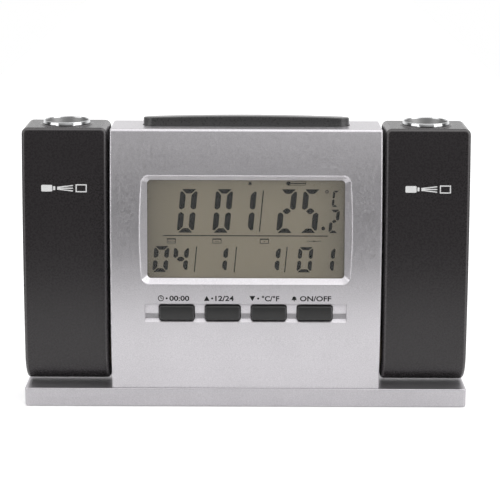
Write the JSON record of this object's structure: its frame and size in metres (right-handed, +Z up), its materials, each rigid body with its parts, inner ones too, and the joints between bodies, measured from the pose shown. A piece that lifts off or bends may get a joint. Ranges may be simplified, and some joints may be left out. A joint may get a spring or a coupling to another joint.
{
  "type": "projection alarm clock",
  "caption": "Free-standing projection alarm clock: silver body with LCD, keys and snooze bar, tilting projector arms with focus rings at its sides, on a flat base plate.",
  "frame": {"origin": "centre of the footprint, on the floor plane under the rubber feet", "axes": "+X to the clock's right as seen from the front, -Y out of the display, +Z up"},
  "size_m": [0.17, 0.0476, 0.1108],
  "materials": {
    "silver_body": "satin silver paint",
    "charcoal_arm": "satin charcoal paint",
    "black_bar": "satin black",
    "black_key": "satin black",
    "black_plastic": "matt black moulding",
    "white_plastic": "matt white moulding",
    "chrome_ring": "bright plated",
    "clear_window": "clear polished",
    "lens_glass": "clear polished",
    "lcd_glass": "grey-green reflective LCD",
    "board_green": "solder mask",
    "ribbon_film": "flexible film",
    "spring_steel": "nickel plated",
    "screw_steel": "zinc plated",
    "cell_wrap": "printed can, bare",
    "rubber_foot": "soft black",
    "fibre_washer": "fibre"
  },
  "bodies": {
    "clock": {"base_plate": "silver_body", "base_cover": "black_plastic", "rubber_feet": "rubber_foot", "base_screws": "screw_steel", "front_shell": "silver_body", "rear_cover": "silver_body", "case_screws": "screw_steel", "display_window": "clear_window", "lcd_panel": "lcd_glass", "light_guide": "white_plastic", "display_ribbon": "ribbon_film", "main_board": "board_green", "board_screws": "screw_steel", "controller_chip": "black_plastic", "quartz_crystal": "spring_steel", "buzzer": "black_plastic", "thermistor": "black_plastic", "snooze_board": "board_green", "snooze_board_screws": "screw_steel", "snooze_switches": "black_plastic", "batteries": "cell_wrap", "battery_contacts": "spring_steel", "battery_springs": "spring_steel", "key_switches": "black_plastic", "left_friction_washer": "fibre_washer", "right_friction_washer": "fibre_washer"},
    "key_1": {"key_1": "black_key"},
    "key_2": {"key_2": "black_key"},
    "key_3": {"key_3": "black_key"},
    "key_4": {"key_4": "black_key"},
    "snooze": {"snooze_bar": "black_bar"},
    "door": {"battery_door": "silver_body"},
    "left_arm": {"left_arm_shell": "charcoal_arm", "left_arm_cover": "charcoal_arm", "left_arm_screws": "screw_steel", "left_pivot_hub": "black_plastic", "left_pivot_clip": "spring_steel", "left_light_tube": "black_plastic", "left_projector_slide": "lcd_glass", "left_lamp_board": "board_green", "left_lamp": "clear_window"},
    "left_ring": {"left_focus_ring": "chrome_ring", "left_ring_clip": "spring_steel"},
    "left_barrel": {"left_focus_barrel": "black_plastic", "left_lens": "lens_glass"},
    "right_arm": {"right_arm_shell": "charcoal_arm", "right_arm_cover": "charcoal_arm", "right_arm_screws": "screw_steel", "right_pivot_hub": "black_plastic", "right_pivot_clip": "spring_steel", "right_light_tube": "black_plastic", "right_projector_slide": "lcd_glass", "right_lamp_board": "board_green", "right_lamp": "clear_window"},
    "right_ring": {"right_focus_ring": "chrome_ring", "right_ring_clip": "spring_steel"},
    "right_barrel": {"right_focus_barrel": "black_plastic", "right_lens": "lens_glass"}
  },
  "joints": [
    {"name": "key_1_press", "type": "slide", "parent": "clock", "child": "key_1", "axis": [0, 1, 0], "range_m": [0, 0.0006], "stiffness_N_per_m": 400, "springref_m": -0.0004},
    {"name": "key_2_press", "type": "slide", "parent": "clock", "child": "key_2", "axis": [0, 1, 0], "range_m": [0, 0.0006], "stiffness_N_per_m": 400, "springref_m": -0.0004},
    {"name": "key_3_press", "type": "slide", "parent": "clock", "child": "key_3", "axis": [0, 1, 0], "range_m": [0, 0.0006], "stiffness_N_per_m": 400, "springref_m": -0.0004},
    {"name": "key_4_press", "type": "slide", "parent": "clock", "child": "key_4", "axis": [0, 1, 0], "range_m": [0, 0.0006], "stiffness_N_per_m": 400, "springref_m": -0.0004},
    {"name": "snooze_press", "type": "slide", "parent": "clock", "child": "snooze", "axis": [0, 0, -1], "range_m": [0, 0.0015], "stiffness_N_per_m": 400, "springref_m": -0.001},
    {"name": "battery_door_swing", "type": "hinge", "parent": "clock", "child": "door", "pos_m": [0, 0.00785, 0.0262], "axis": [-1, 0, 0], "range_deg": [0, 70]},
    {"name": "left_arm_tilt", "type": "hinge", "parent": "clock", "child": "left_arm", "pos_m": [-0.0514, -0.00815, 0.0201], "axis": [1, 0, 0], "range_deg": [-80, 90]},
    {"name": "left_focus_turn", "type": "hinge", "parent": "left_arm", "child": "left_ring", "pos_m": [-0.0687, -0.00235, 0.1071], "axis": [0, 0, 1], "range_deg": [-120, 120]},
    {"name": "left_focus_travel", "type": "slide", "parent": "left_arm", "child": "left_barrel", "axis": [0, 0, 1], "range_m": [-0.0006, 0.0006]},
    {"name": "right_arm_tilt", "type": "hinge", "parent": "clock", "child": "right_arm", "pos_m": [0.0514, -0.00815, 0.0201], "axis": [1, 0, 0], "range_deg": [-80, 90]},
    {"name": "right_focus_turn", "type": "hinge", "parent": "right_arm", "child": "right_ring", "pos_m": [0.0687, -0.00235, 0.1071], "axis": [0, 0, 1], "range_deg": [-120, 120]},
    {"name": "right_focus_travel", "type": "slide", "parent": "right_arm", "child": "right_barrel", "axis": [0, 0, 1], "range_m": [-0.0006, 0.0006]}
  ],
  "couplings": [
    {"joint": "left_focus_travel", "follows": "left_focus_turn", "m_per_rad": 0.000286},
    {"joint": "right_focus_travel", "follows": "right_focus_turn", "m_per_rad": 0.000286}
  ]
}
